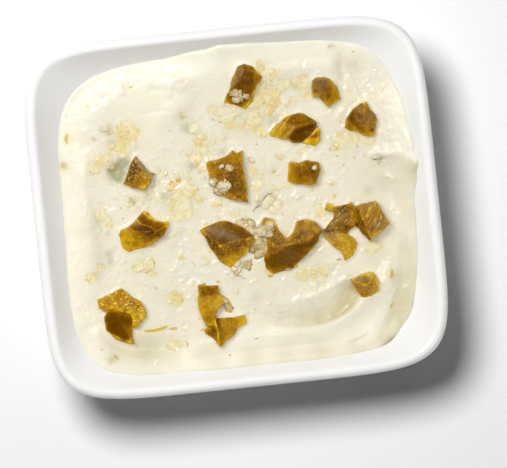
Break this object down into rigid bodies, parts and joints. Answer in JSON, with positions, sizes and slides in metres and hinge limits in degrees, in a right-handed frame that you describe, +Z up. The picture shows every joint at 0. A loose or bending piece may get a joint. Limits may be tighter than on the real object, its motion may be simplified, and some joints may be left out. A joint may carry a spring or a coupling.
{
  "type": "bowl of aioli",
  "caption": "Rounded rectangular white porcelain dip bowl filled with pale aioli and scattered with chopped olives.",
  "frame": {"origin": "middle of the foot, on the table", "axes": "+Z up out of the bowl, X along its long sides, Y across"},
  "size_m": [0.105, 0.0936, 0.033],
  "materials": {
    "glaze": "gloss",
    "aioli": "satin",
    "olive": "satin"
  },
  "bodies": {
    "root": {"bowl": "glaze", "aioli": "aioli", "olive_01": "olive", "olive_02": "olive", "olive_03": "olive", "olive_04": "olive", "olive_05": "olive", "olive_06": "olive", "olive_07": "olive", "olive_08": "olive", "olive_09": "olive", "olive_10": "olive", "olive_11": "olive", "olive_12": "olive", "olive_13": "olive", "olive_14": "olive", "olive_15": "olive", "olive_16": "olive", "olive_17": "olive", "olive_18": "olive", "olive_19": "olive"}
  },
  "joints": []
}
